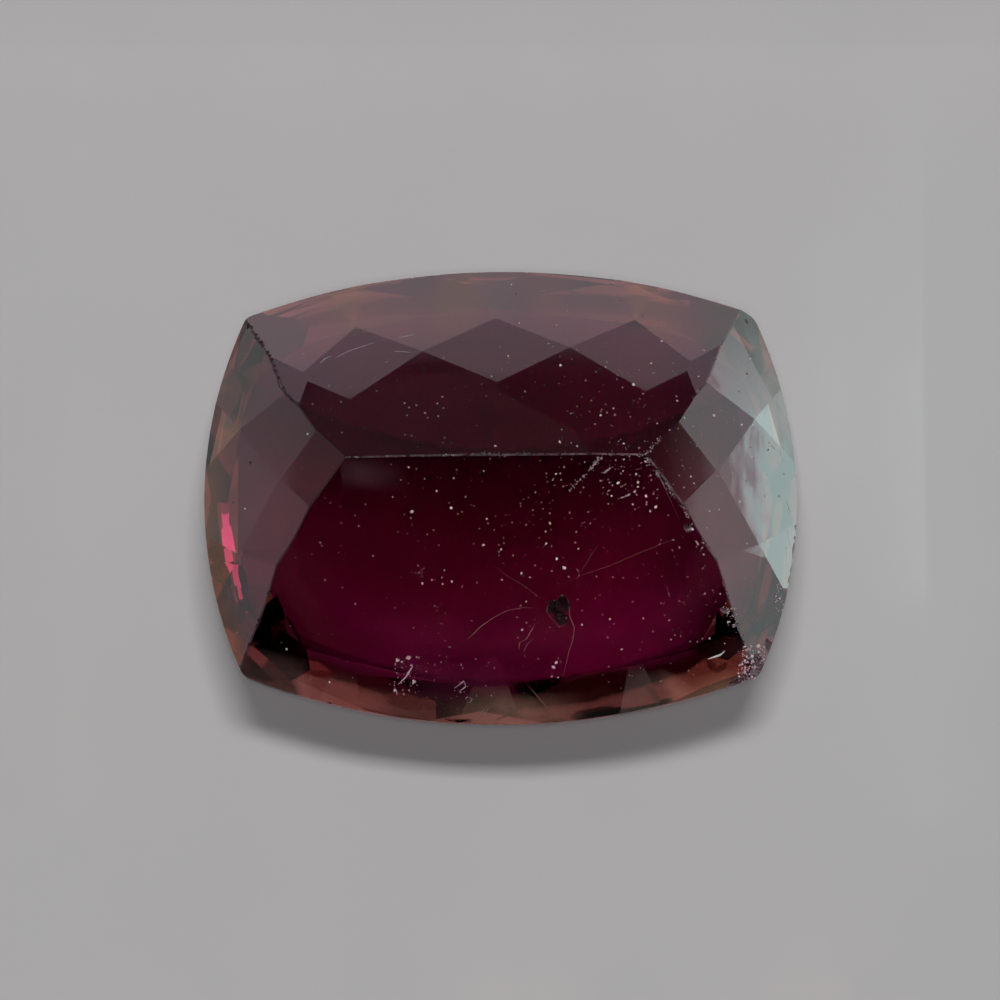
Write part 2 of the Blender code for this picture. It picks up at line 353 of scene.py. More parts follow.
def shades(made, value, stops):
    """A colour ramp from pairs of position and colour or grey."""
    node = add_node(made, "ValToRGB", {"Fac": value})
    marks = node.color_ramp.elements
    while len(marks) < len(stops):
        marks.new(0.5)
    for mark, (position, color) in zip(marks, stops):
        mark.position = position
        mark.color = (*color, 1) if isinstance(color, tuple) else (color, color, color, 1)
    return node.outputs["Color"]


def blend(made, factor, one, other, way="MIX"):
    """Mixes two colours; a mix node's sockets share their names, so they are found by type too."""
    node = add_node(made, "Mix", data_type="RGBA", blend_type=way)
    for name, value in {"Factor": factor, "A": one, "B": other}.items():
        kind = "VALUE" if name == "Factor" else "RGBA"
        socket = next(socket for socket in node.inputs if (socket.name, socket.type) == (name, kind))
        if isinstance(value, bpy.types.NodeSocket):
            made.node_tree.links.new(value, socket)
        else:
            socket.default_value = value
    return next(socket for socket in node.outputs if socket.type == "RGBA")


def times(made, one, other):
    return blend(made, 1.0, one, other, "MULTIPLY")


def bumps(made, height, strength, depth):
    sockets = {"Height": height, "Strength": strength, "Distance": depth}
    return add_node(made, "Bump", sockets).outputs["Normal"]


def finish(name, color, roughness, **sockets):
    """A finish for one kind of surface; other sockets of its shader go by their names."""
    made = bpy.data.materials.new(name)
    made.use_nodes = True
    shader = made.node_tree.nodes["Principled BSDF"]
    shader.inputs["Base Color"].default_value = (*color, 1.0)
    shader.inputs["Roughness"].default_value = roughness
    for socket, value in sockets.items():
        shader.inputs[socket.replace("_", " ")].default_value = value
    return made


def connect(made, socket, output):
    made.node_tree.links.new(output, made.node_tree.nodes["Principled BSDF"].inputs[socket])


def inner_color(made):
    """Light loses colour along its way through the crystal."""
    strongest = max(LOSS_PER_METRE)
    color = (*[1 - loss / strongest for loss in LOSS_PER_METRE], 1.0)
    body = add_node(made, "VolumeAbsorption", {"Color": color, "Density": strongest})
    output = made.node_tree.nodes["Material Output"]
    made.node_tree.links.new(body.outputs["Volume"], output.inputs["Volume"])


# The crystal's finishes

def picture_plane(made, place):
    """Where a place of the stone is seen, in millimetres from the keel: aside, up the picture."""
    above_keel = add_node(made, "VectorMath", {0: place, 1: KEEL}, operation="SUBTRACT").outputs["Vector"]
    aside = along(made, above_keel, (1 / MM, 0, 0))
    up = along(made, above_keel, UP_THE_PICTURE / MM)
    return add_node(made, "CombineXYZ", {"X": aside, "Y": up}).outputs["Vector"]


def seen_at(px, py):
    """A pixel of the photograph in the same millimetres."""
    return ((px - KEEL_PIXEL[0]) / PIXELS_PER_MM, (KEEL_PIXEL[1] - py) / PIXELS_PER_MM, 0)


def patch(made, plane, color, middle, half_size, shade, turn=0.0, soft=0.25):
    """Lays an oval patch of another shade over a colour; middle and half_size are in pixels."""
    sockets = {
        "Vector": plane,
        "Location": seen_at(*middle),
        "Rotation": (0, 0, math.radians(turn)),
        "Scale": (half_size[0] / PIXELS_PER_MM, half_size[1] / PIXELS_PER_MM, 1),
    }
    inside = add_node(made, "Mapping", sockets, vector_type="TEXTURE").outputs["Vector"]
    far = add_node(made, "VectorMath", {0: inside}, operation="LENGTH").outputs["Value"]
    return blend(made, spread(made, far, 1 - soft, 1 + soft, 1.0, 0.0), color, (*shade, 1))


def below_table_edge(made, plane):
    """How far below the table's edge a place of the front faces is seen, in millimetres."""
    lowest, rise, low = EDGE_BOW
    aside = along(made, plane, (1, 0, 0))
    up = along(made, plane, (0, 1, 0))
    bow = arithmetic(made, "POWER", arithmetic(made, "ADD", aside, -lowest), 2.0)
    return arithmetic(made, "SUBTRACT", arithmetic(made, "MULTIPLY_ADD", bow, rise, low), up)


def unruled(made, plane):
    """The same plane, shifted a little here and there, so that drawn borders look grown."""
    stray = add_node(made, "TexNoise", {"Vector": plane, "Scale": 3.0, "Detail": 4.0}).outputs["Color"]
    half = (STRAY / 2, STRAY / 2, 0)
    centred = add_node(made, "VectorMath", {0: plane, 1: half}, operation="SUBTRACT").outputs["Vector"]
    sockets = {0: stray, 1: (STRAY, STRAY, 0), 2: centred}
    return add_node(made, "VectorMath", sockets, operation="MULTIPLY_ADD").outputs["Vector"]


def painted_shade_up_the_stone(made, below):
    """Painted shade in the crystal's tint: darker and lighter bands from the back girdle to the front one."""
    return shades(made, spread(made, below, -7.5, 0.5), [
        (0.1, 0.24),
        (0.25, 0.46),
        (0.394, 0.46),
        (0.4, 0.16),
        (0.475, 0.35),
        (0.625, 0.88),
        (0.8375, (0.95, 0.95, 0.8)),
        (0.9, (0.6, 0.55, 0.38)),
        (0.931, (0.5, 0.45, 0.3)),
        (0.9375, 1.0),
    ])


def table_edge_band(made, plane, below):
    """Painted shade: the dark band along the table's front edge, deeper to the right and mottled at its foot.
    """
    band = shades(made, spread(made, below, -0.3, 0.7), [
        (0.17, 1.0),
        (0.23, (0.4, 0.04, 0.4)),
        (0.29, (0.22, 0.002, 0.2)),
        (0.35, (0.1, 0.001, 0.1)),
        (0.44, (0.07, 0.001, 0.07)),
        (0.5, (0.03, 0.001, 0.015)),
        (0.72, (0.03, 0.003, 0.006)),
        (0.84, 1.0),
    ])
    aside = along(made, plane, (1, 0, 0))
    toward_right = shades(made, spread(made, aside, -1, 2), [(0.0, 1.0), (1.0, 0.4)])
    inside = spread(made, below, -0.05, 0.5)
    within = shades(made, inside, [(0.0, 0.0), (0.2, 1.0), (0.75, 1.0), (0.95, 0.0)])
    band = times(made, band, blend(made, within, CLEAR, toward_right))
    cloudy = add_node(made, "TexNoise", {"Vector": plane, "Scale": 4.5, "Detail": 5.0}).outputs["Fac"]
    mottle = shades(made, cloudy, [(0.35, 0.8), (0.55, 1.0)])
    return times(made, band, blend(made, spread(made, below, 0.4, 0.5), CLEAR, mottle))


def middle_shade(made, plane, below):
    """Painted shade: a duller place in the middle, just above the table's front edge."""
    aside = along(made, plane, (1, 0, 0))
    rise = spread(made, aside, -1.7, -0.6)
    fall = spread(made, aside, 0.2, 1.4, 1.0, 0.0)
    middle = arithmetic(made, "MULTIPLY", rise, fall)
    dim = arithmetic(made, "MULTIPLY", middle, spread(made, below, -0.9, -0.35))
    return blend(made, dim, CLEAR, (0.5, 0.45, 0.45, 1))


def polished_crystal():
    made = finish("polished_crystal", (1.0, 1.0, 1.0), 0.0, IOR=BEND, Transmission_Weight=1.0)
    plane = picture_plane(made, place_on(made))
    bent = unruled(made, plane)
    below = below_table_edge(made, bent)
    # The tint carries painted shade: bands up the stone, a dark band along the table's front edge and a
    # duller middle
    color = times(made, painted_shade_up_the_stone(made, below), table_edge_band(made, plane, below))
    color = times(made, color, middle_shade(made, plane, below))
    # Painted shade and light in oval patches, and painted shade where the pink lights must not show
    for middle, half_size, shade, turn in CORNER_PATCHES + EDGE_PATCHES:
        color = patch(made, bent, color, middle, half_size, shade, turn, soft=0.15)
    for middle, half_size, shade, turn in FLASH_BORDERS:
        color = patch(made, plane, color, middle, half_size, shade, turn, soft=0.05)
    connect(made, "Base Color", color)
    inner_color(made)
    return made


def table_crystal():
    """The table's tint: darker towards both sides than in the middle, in soft clouds."""
    made = finish("table_crystal", (0.8, 0.03, 1.0), 0.0, IOR=BEND, Transmission_Weight=1.0)
    place = place_on(made)
    across = spread(made, along(made, place, (1, 0, 0)), -4 * MM, 4 * MM)
    side_to_side = shades(made, across, [
        (0.03, (0.3, 0.005, 0.33)),
        (0.1, (0.41, 0.008, 0.5)),
        (0.19, (0.5, 0.011, 0.65)),
        (0.31, (0.64, 0.016, 0.85)),
        (0.5, (0.7, 0.019, 0.92)),
        (0.71, (0.76, 0.025, 0.97)),
        (0.82, (0.7, 0.032, 0.9)),
        (0.9, (0.4, 0.02, 0.55)),
        (0.97, (0.25, 0.012, 0.35)),
    ])
    clouds = shades(made, grain(made, place, 1.2 * MM, 3.0), [(0.3, 0.8), (0.7, 1.0)])
    connect(made, "Base Color", times(made, side_to_side, clouds))
    inner_color(made)
    return made


def crown_crystal():
    # Painted shade: the crown is tinted darker than the table, so light through it comes out dimmer
    made = finish("crown_crystal", (0.3, 0.012, 0.4), 0.0, IOR=BEND, Transmission_Weight=1.0)
    clouds = grain(made, place_on(made), 0.8 * MM, 3.0)
    connect(made, "Base Color", shades(made, clouds, [(0.3, (0.22, 0.01, 0.3)), (0.7, (0.4, 0.016, 0.5))]))
    inner_color(made)
    return made


def rubbed_edge():
    """The keel and hips, rubbed white in places, and lighter to the right."""
    made = finish("rubbed_edge", (0.6, 0.5, 0.55), 0.4, IOR=BEND, Transmission_Weight=0.5)
    place = place_on(made)
    fine = grain(made, place, 0.09 * MM, 5.0, rough=0.7)
    wear = shades(made, fine, [
        (0.35, (0.05, 0.015, 0.03)),
        (0.5, (0.22, 0.15, 0.19)),
        (0.68, (0.5, 0.42, 0.47)),
    ])
    aside = spread(made, along(made, place, (1, 0, 0)), -2.8 * MM, 2.4 * MM)
    toward_right = shades(made, aside, [(0.0, 0.3), (0.6, 0.6), (1.0, 1.0)])
    connect(made, "Base Color", times(made, wear, toward_right))
    connect(made, "Normal", bumps(made, fine, 0.6, 0.01 * MM))
    inner_color(made)
    return made


def broken_crystal():
    made = finish("broken_crystal", (0.8, 0.6, 0.66), 0.25, IOR=BEND, Transmission_Weight=0.75)
    flutes = grain(made, place_on(made), 0.09 * MM, 4.0, stretch=(1, 2.5, 1))
    connect(made, "Base Color", shades(made, flutes, [(0.35, (0.3, 0.1, 0.18)), (0.65, (0.9, 0.75, 0.8))]))
    connect(made, "Normal", bumps(made, flutes, 0.8, 0.03 * MM))
    inner_color(made)
    return made


def mottled(name, dark, light, roughness, size=0.02 * MM):
    """A finish for the small flaws: two shades in fine patches, on a slightly uneven surface."""
    made = finish(name, light, roughness)
    fine = grain(made, place_on(made), size, 3.0)
    connect(made, "Base Color", shades(made, fine, [(0.35, dark), (0.65, light)]))
    connect(made, "Normal", bumps(made, fine, 0.5, size / 4))
    return made


# The stone

POLISHED, TABLE, CROWN, RUBBED, BROKEN, DARK = range(6)


def group_planes(mesh):
    """Sorts the faces into the cut planes that they lie on, largest face first."""
    planes = []
    for face in sorted(mesh.polygons, key=lambda face: -face.area):
        reach = face.normal.dot(face.center)
        for plane in planes:
            alike = plane["normal"].dot(face.normal) > SAME_DIRECTION
            if alike and abs(plane["reach"] - reach) < SAME_REACH:
                plane["faces"].append(face.index)
                plane["area"] += face.area
                break
        else:
            plane = {"normal": face.normal.copy(), "reach": reach, "faces": [face.index], "area": face.area}
            planes.append(plane)
    return planes


def plane_length(mesh, plane):
    faces = [mesh.polygons[index] for index in plane["faces"]]
    corners = [mesh.vertices[corner].co for face in faces for corner in face.vertices]
    middle = sum(corners, Vector()) / len(corners)
    return 2 * max((corner - middle).length for corner in corners)


def finish_of(mesh, plane):
    """Facets are polished, narrow strips high on the stone are rubbed, and small faces are chips; the chips
    at the right are pale, while the others and the narrow nicks at the left end get painted shade.
    """
    middle = mesh.polygons[plane["faces"][0]].center
    if plane["normal"].z < -0.99:
        return TABLE
    if plane["normal"].z < -0.1:
        return CROWN
    length = plane_length(mesh, plane)
    wide = plane["area"] > STRIP * length * length
    if wide and plane["area"] > LEAST_FACET:
        return POLISHED
    right_back_hip = middle.x > BACK_HIP[0] and middle.y > BACK_HIP[1]
    if not wide and middle.z > RUBBED_FROM and middle.x > -KEEL_HALF and not right_back_hip:
        return RUBBED
    if not wide and middle.x < -KEEL_HALF and middle.z > NICKS_FROM:
        return DARK
    if wide and plane["normal"].z > 0.05 and (abs(middle.x) > KEEL_HALF or middle.z > BITES_FROM):
        return BROKEN if middle.x > RIGHT_CHIPS else DARK
    return POLISHED


def make_stone():
    deselect()
    stone = ROUGH_STONE.copy()
    stone.data = ROUGH_STONE.data.copy()
    stone.name = "cut_stone"
    bpy.context.scene.collection.objects.link(stone)
    stone.parent = None
    for key in list(stone.keys()):
        del stone[key]
    stone.select_set(True)
    bpy.context.view_layer.objects.active = stone
    bpy.ops.mesh.customdata_custom_splitnormals_clear()
    bpy.ops.object.mode_set(mode="EDIT")
    bpy.ops.mesh.select_all(action="SELECT")
    bpy.ops.mesh.remove_doubles(threshold=1e-7)
    bpy.ops.object.mode_set(mode="OBJECT")
    bpy.ops.object.shade_flat()
    stone.data.materials.clear()
    # Painted shade: a near-black finish for the chips and nicks away from the bright right side
    dark = mottled("dark_edge", (0.01, 0.002, 0.004), (0.05, 0.015, 0.025), 0.35)
    for made in (polished_crystal(), table_crystal(), crown_crystal(), rubbed_edge(), broken_crystal(), dark):
        stone.data.materials.append(made)
    for plane in group_planes(stone.data):
        kind = finish_of(stone.data, plane)
        for index in plane["faces"]:
            stone.data.polygons[index].material_index = kind
    keep_piece(stone)
    return stone


def keep_piece(piece):
    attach(piece, "root")
    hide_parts("tourmaline")


# Finding a place of the photograph on the stone

def surface_tree(stone):
    corners = [vertex.co.copy() for vertex in stone.data.vertices]
    return BVHTree.FromPolygons(corners, [tuple(face.vertices) for face in stone.data.polygons])


def sight(px, py):
    """The camera's ray through a pixel of the photograph."""
    camera = bpy.context.scene.camera
    across = (px - PICTURE / 2) / PICTURE * SENSOR / LENS
    up = (PICTURE / 2 - py) / PICTURE * SENSOR / LENS
    direction = camera.rotation_quaternion @ Vector((across, up, -1))
    return camera.location.copy(), direction.normalized()


def on_stone(tree, px, py, depth=0.0):
    """The stone's surface at a pixel, or the place at a depth below it that shows at that pixel."""
    start, direction = sight(px, py)
    place, normal = tree.ray_cast(start, direction)[:2]
    if place is None or not depth:
        return place
    slope = -direction.dot(normal)
    inner = math.sqrt(1 - (1 - slope * slope) / BEND ** 2)
    bent = direction / BEND + normal * (slope / BEND - inner)
    return place + bent.normalized() * depth


# The small flaws

def tidy_piece(piece, name, made):
    """Puts a piece's place in its mesh, turns its faces outwards and gives it its finish."""
    deselect()
    piece.select_set(True)
    bpy.context.view_layer.objects.active = piece
    bpy.ops.object.transform_apply(location=True, rotation=True, scale=True)
    bpy.ops.object.mode_set(mode="EDIT")
    bpy.ops.mesh.select_all(action="SELECT")
    bpy.ops.mesh.normals_make_consistent(inside=False)
    bpy.ops.object.mode_set(mode="OBJECT")
    piece.name = name
    piece.data.materials.clear()
    piece.data.materials.append(made)
    keep_piece(piece)
    return piece


def join_pieces(pieces):
    """Makes one piece of some; the first one keeps its place."""
    deselect()
    for piece in pieces:
        piece.select_set(True)
    bpy.context.view_layer.objects.active = pieces[0]
    if len(pieces) > 1:
        bpy.ops.object.join()
    return bpy.context.view_layer.objects.active


def model_splinter(roundness):
    """One small crystal splinter or grain of dust, a millimetre in radius, for copying."""
    deselect()
    bpy.ops.mesh.primitive_ico_sphere_add(subdivisions=1, radius=MM)
    splinter = bpy.context.object
    bpy.ops.object.mode_set(mode="EDIT")
    bpy.ops.mesh.select_all(action="SELECT")
    bpy.ops.transform.vertex_random(offset=(1 - roundness) * MM, uniform=1.0, seed=SEED)
    bpy.ops.object.mode_set(mode="OBJECT")
    return splinter


def strew(name, spots, made, roundness=0.6, flat=0.6):
    """Lays turned copies of a splinter on a list of places and sizes, and joins them."""
    splinter = model_splinter(roundness)
    copies = []
    for place, radius in spots:
        grain_copy = splinter.copy()
        grain_copy.data = splinter.data.copy()
        grain_copy.location = place
        grain_copy.location.z = min(place.z, cad_high[2] - 2 * radius * MM)
        grain_copy.rotation_euler = [dice.uniform(0, math.tau) for axis in range(3)]
        grain_copy.scale = [radius * dice.uniform(flat, 1.2) for axis in range(3)]
        bpy.context.scene.collection.objects.link(grain_copy)
        copies.append(grain_copy)
    bpy.data.objects.remove(splinter)
    return tidy_piece(join_pieces(copies), name, made)


def field_spots(tree, fields, low_radius, high_radius, deepest=0.0):
    """Chance places in each field; small grains are the most common."""
    spots = []
    for (left, top), (right, bottom), count in fields:
        for number in range(count):
            depth = dice.uniform(0, deepest) * MM
            place = on_stone(tree, dice.uniform(left, right), dice.uniform(top, bottom), depth)
            if place is not None:
                radius = low_radius + (high_radius - low_radius) * dice.random() ** 3
                spots.append((place, radius))
    return spots


def line_spots(tree, pixels, count, blur, low_radius, high_radius):
    """Chance places along a line, scattered to both sides of it."""
    spots = []
    for number in range(count):
        step = dice.uniform(0, len(pixels) - 1.001)
        (x, y), (next_x, next_y) = pixels[int(step)], pixels[int(step) + 1]
        part = step % 1
        px = x + (next_x - x) * part + dice.gauss(0, blur)
        py = y + (next_y - y) * part + dice.gauss(0, blur)
        place = on_stone(tree, px, py)
        if place is not None:
            spots.append((place, dice.uniform(low_radius, high_radius)))
    return spots


def draw_thread(places, radius, ragged=0.3):
    """A thin thread along some places, extruded from a small ring and closed at both ends."""
    turn = (places[1] - places[0]).to_track_quat("Z", "Y").to_euler()
    deselect()
    bpy.ops.mesh.primitive_circle_add(
        vertices=5, radius=radius, fill_type="NGON", location=places[0], rotation=turn)
    bpy.ops.object.transform_apply(location=True, rotation=True, scale=True)
    thread = bpy.context.object
    bpy.ops.object.mode_set(mode="EDIT")
    bpy.ops.mesh.select_all(action="SELECT")
    bpy.ops.transform.resize(value=(TIP, TIP, TIP), center_override=places[0])
    for start, end in zip(places, places[1:]):
        bpy.ops.mesh.extrude_region_move(TRANSFORM_OT_translate={"value": end - start})
        width = dice.uniform(1 - ragged, 1 + ragged)
        if end == places[-1]:
            size = TIP
        elif start == places[0]:
            size = width * WIDENING
        else:
            size = width
        bpy.ops.transform.resize(value=(size, size, size), center_override=end)
    bpy.ops.object.mode_set(mode="OBJECT")
    return thread


def thread_on(tree, pixels, radius, depth=0.0, ragged=0.3, wander=0.0):
    """A thread where the photograph shows one; each of its pixels may wander a little."""
    places = []
    for px, py in pixels:
        places.append(on_stone(tree, px + dice.gauss(0, wander), py + dice.gauss(0, wander), depth))
    return draw_thread(places, radius, ragged)


def make_dust(tree):
    dull = mottled("fine_dust", (0.2, 0.13, 0.16), (0.5, 0.4, 0.44), 0.8, 0.01 * MM)
    pale = mottled("pale_dust_and_glints", (0.6, 0.52, 0.56), (1.0, 0.95, 0.97), 0.6, 0.01 * MM)
    strew("fine_dust", field_spots(tree, SPECK_FIELDS, 0.009, 0.021), dull)
    few = [(low, high, max(2, count // 5)) for low, high, count in SPECK_FIELDS]
    bright = field_spots(tree, few, 0.012, 0.03)
    # Painted highlights: pale grains at the keel's glints, strewn with the pale dust
    bright += [(on_stone(tree, px, py), 0.032) for px, py in KEEL_GLINTS]
    strew("pale_dust_and_glints", bright, pale)


def make_edge_wear(tree):
    frosting = mottled("frosted_wear", (0.25, 0.2, 0.23), (0.62, 0.55, 0.6), 0.7)
    spots = line_spots(tree, KEEL_WEAR, 90, 0.5, 0.007, 0.018)
    spots += line_spots(tree, HIP_WEAR, 70, 0.8, 0.006, 0.017)
    spots += line_spots(tree, BACK_HIP_WEAR, 26, 1.3, 0.008, 0.018)
    spots += line_spots(tree, KEEL_BRANCH, 70, 1.3, 0.008, 0.017)
    for stroke in KEEL_STROKES:
        spots += line_spots(tree, stroke, 20, 0.6, 0.009, 0.017)
    strew("edge_wear", spots, frosting, flat=0.4)
    flakes = mottled("broken_flakes", (0.55, 0.3, 0.4), (1.0, 0.86, 0.93), 0.3)
    strew("corner_flakes", field_spots(tree, BROKEN_FIELDS, 0.01, 0.036), flakes, roundness=0.35, flat=0.2)


def make_nicks(tree):
    pit_dark = mottled("dark_nicks", (0.004, 0.001, 0.002), (0.02, 0.006, 0.01), 0.5)
    # Painted shade: the left hip's nicks are near-black threads, and the dark specks share their finish
    threads = [thread_on(tree, LEFT_HIP, 0.02 * MM, wander=0.7, ragged=0.5)]
    threads += [thread_on(tree, nick, 0.01 * MM) for nick in LEFT_GIRDLE_NICKS]
    tidy_piece(join_pieces(threads), "left_hip_nicks", pit_dark)
    dark = [(on_stone(tree, px, py), dice.uniform(0.012, 0.02)) for px, py in DARK_SPECKS]
    dark += line_spots(tree, LEFT_HIP, 26, 1.6, 0.007, 0.016)
    strew("dark_specks", dark, pit_dark)


def make_scratches_and_glint(tree):
    scuffed = mottled("scratch_pale", (0.3, 0.22, 0.26), (0.8, 0.7, 0.75), 0.6)
    threads = [thread_on(tree, scratch, 0.006 * MM, wander=0.5) for scratch in SCRATCHES]
    threads += [thread_on(tree, streak, 0.02 * MM, wander=0.4) for streak in GIRDLE_STREAKS]
    tidy_piece(join_pieces(threads), "scratches", scuffed)
    faint = mottled("net_lines", (0.05, 0.015, 0.02), (0.16, 0.07, 0.08), 0.8)
    nets = [thread_on(tree, net, 0.006 * MM, 0.1 * MM, wander=0.8) for net in NET_LINES]
    tidy_piece(join_pieces(nets), "net_lines", faint)
    # Painted highlight: a pale thread where the corner shows a glint
    glint = mottled("corner_glint", (0.7, 0.65, 0.66), (1.0, 0.97, 0.98), 0.3)
    tidy_piece(thread_on(tree, CORNER_GLINT, 0.024 * MM), "corner_glint", glint)


def make_fractures(tree):
    pale = mottled("fracture_pale", (0.16, 0.07, 0.1), (0.42, 0.28, 0.33), 0.6)
    threads = [thread_on(tree, FRACTURE, 0.011 * MM, 0.06 * MM, wander=0.3)]
    threads.append(thread_on(tree, FRACTURE_ARC, 0.009 * MM, 0.08 * MM, wander=0.3))
    threads += [thread_on(tree, feather, 0.012 * MM, 0.1 * MM, wander=0.5) for feather in FEATHERS]
    tidy_piece(join_pieces(threads), "fractures", pale)
    # Painted shade: dark grains just below the pit darken it
    deep = mottled("cavity_dark", (0.008, 0.001, 0.003), (0.04, 0.006, 0.016), 1.0)
    spots = [(on_stone(tree, px, py, 0.14 * MM), size) for px, py, size in CAVITY]
    strew("cavity", spots, deep, roundness=0.75, flat=0.7)
    threads = [thread_on(tree, CAVITY_RIM, 0.007 * MM, 0.05 * MM, wander=1.2)]
    tidy_piece(join_pieces(threads), "cavity_rim", pale)


def make_inclusions(tree):
    bright = mottled("inclusion_bright", (0.45, 0.2, 0.3), (1.0, 0.8, 0.88), 0.3)
    milky = mottled("inclusion_milky", (0.12, 0.04, 0.08), (0.4, 0.24, 0.32), 0.8)
    spots = [(on_stone(tree, px, py), 0.6 * size / PIXELS_PER_MM) for (px, py), size in CLUSTER]
    spots += [(on_stone(tree, px, py), 0.03) for px, py in SPARK]
    spots += field_spots(tree, [CLUSTER_FIELD], 0.008, 0.024)
    strew("bright_inclusions", spots, bright, roundness=0.3, flat=0.15)
    strands = [thread_on(tree, strand, 0.011 * MM, wander=0.4, ragged=0.6) for strand in STRANDS]
    tidy_piece(join_pieces(strands), "bright_strands", bright)
    cloud = []
    for field, (smallest, largest), deepest in MILKY_CLOUDS:
        cloud += field_spots(tree, [field], smallest, largest, deepest)
    strew("milky_inclusions", cloud, milky, roundness=0.4, flat=0.25)


def make_flaws(stone):
    tree = surface_tree(stone)
    make_dust(tree)
    make_edge_wear(tree)
    make_nicks(tree)
    make_scratches_and_glint(tree)
    make_fractures(tree)
    make_inclusions(tree)


# The room

def make_camera():
    place = KEEL + TO_CAMERA * CAMERA_DISTANCE
    aim = KEEL + Vector((AIM_ASIDE, 0, 0)) - UP_THE_PICTURE * AIM_BELOW
    deselect()
    bpy.ops.object.camera_add(location=place)
    camera = bpy.context.object
    camera.rotation_mode = "QUATERNION"
    camera.rotation_quaternion = (aim - place).to_track_quat("-Z", "Y")
    camera.data.lens = LENS
    camera.data.sensor_width = SENSOR
    camera.data.clip_start = 0.005
    camera.data.clip_end = 5.0
    bpy.context.scene.camera = camera


def make_floor():
    deselect()
    bpy.ops.mesh.primitive_plane_add(size=FLOOR_SIZE, location=(0, 0, -FLOOR_GAP))
    floor = bpy.context.object
    floor.name = "floor"
    made = finish("pale_floor", (0.62, 0.61, 0.615), 0.7)
    fine = grain(made, place_on(made), 3 * MM, 4.0)
    pale = shades(made, fine, [(0.3, (0.615, 0.605, 0.61)), (0.7, (0.625, 0.615, 0.62))])
    connect(made, "Base Color", pale)
    floor.data.materials.append(made)


def area_light(name, place, aim, size, radiance):
    """A lamp that lights the floor; neither polished faces nor light through the stone show it."""
    deselect()
    bpy.ops.object.light_add(type="AREA", location=place)
    light = bpy.context.object
    light.name = name
    light.data.shape = "RECTANGLE"
    light.data.size, light.data.size_y = size
    light.data.energy = radiance * math.pi * size[0] * size[1]
    light.rotation_mode = "QUATERNION"
    light.rotation_quaternion = (Vector(aim) - Vector(place)).to_track_quat("-Z", "Y")
    light.visible_camera = False
    light.visible_transmission = False
    light.visible_glossy = False


def glow(name, radiance):
    """A card's own light; radiance makes its colour from the material and a place."""
    made = bpy.data.materials.new(name)
    made.use_nodes = True
    made.node_tree.nodes.clear()
    light = add_node(made, "Emission", {"Color": radiance(made, place_on(made)), "Strength": 10.0})
    out = add_node(made, "OutputMaterial")
    made.node_tree.links.new(light.outputs["Emission"], out.inputs["Surface"])
    return made


def by_height(*steps, color=(1, 1, 1)):
    """Light that changes with the height; steps are pairs of millimetres and radiance."""
    stops = [(at / 10, tuple(value / 10 * part for part in color)) for at, value in steps]

    def radiance(made, place):
        height = spread(made, along(made, place, (0, 0, 1)), 0, 10 * MM)
        return shades(made, height, stops)
    return radiance


def card(name, low, high, radiance, seen="glossy"):
    """A card of light; seen says whether polished faces show it or light through the stone does."""
    deselect()
    low = Vector(low) * MM
    high = Vector(high) * MM
    bpy.ops.mesh.primitive_cube_add(size=1, location=(low + high) / 2, scale=high - low)
    bpy.ops.object.transform_apply(location=True, rotation=True, scale=True)
    screen = bpy.context.object
    screen.name = name
    screen.data.materials.append(glow(name + "_glow", radiance))
    screen.visible_camera = False
    screen.visible_diffuse = False
    screen.visible_shadow = False
    screen.visible_glossy = seen == "glossy"
    screen.visible_transmission = seen == "transmission"


def window(made, place, direction, low, high, soft):
    """Light between two places along a direction, in millimetres, with soft borders."""
    at = along(made, place, direction)
    rise = spread(made, at, low * MM, (low + soft) * MM)
    fall = spread(made, at, (high - soft) * MM, high * MM, 1.0, 0.0)
    return arithmetic(made, "MULTIPLY", rise, fall)


def pale_side(made, place):
    """The bright side of the room, with soft streaks in it."""
    height = along(made, place, (0, 0, 1))
    streaks = grain(made, place, 0.22 * MM, 3.0, stretch=(1, 0.35, 1))
    shifted = arithmetic(made, "ADD", height, spread(made, streaks, 0.3, 0.7, -0.3 * MM, 0.3 * MM))
    level = shades(made, spread(made, shifted, 0, 2 * MM), [
        (0.0, (0.28, 0.35, 0.34)),
        (0.5, (0.26, 0.34, 0.33)),
        (0.62, (0.25, 0.29, 0.29)),
        (0.72, (0.19, 0.2, 0.205)),
        (0.8, (0.16, 0.16, 0.165)),
        (0.88, (0.125, 0.12, 0.125)),
    ])
    far_along = spread(made, along(made, place, (0, 1, 0)), 2.6 * MM, 5.2 * MM)
    farther = shades(made, far_along, [(0.0, 1.0), (0.25, (0.76, 0.66, 0.68)), (1.0, (0.5, 0.4, 0.42))])
    return times(made, level, farther)


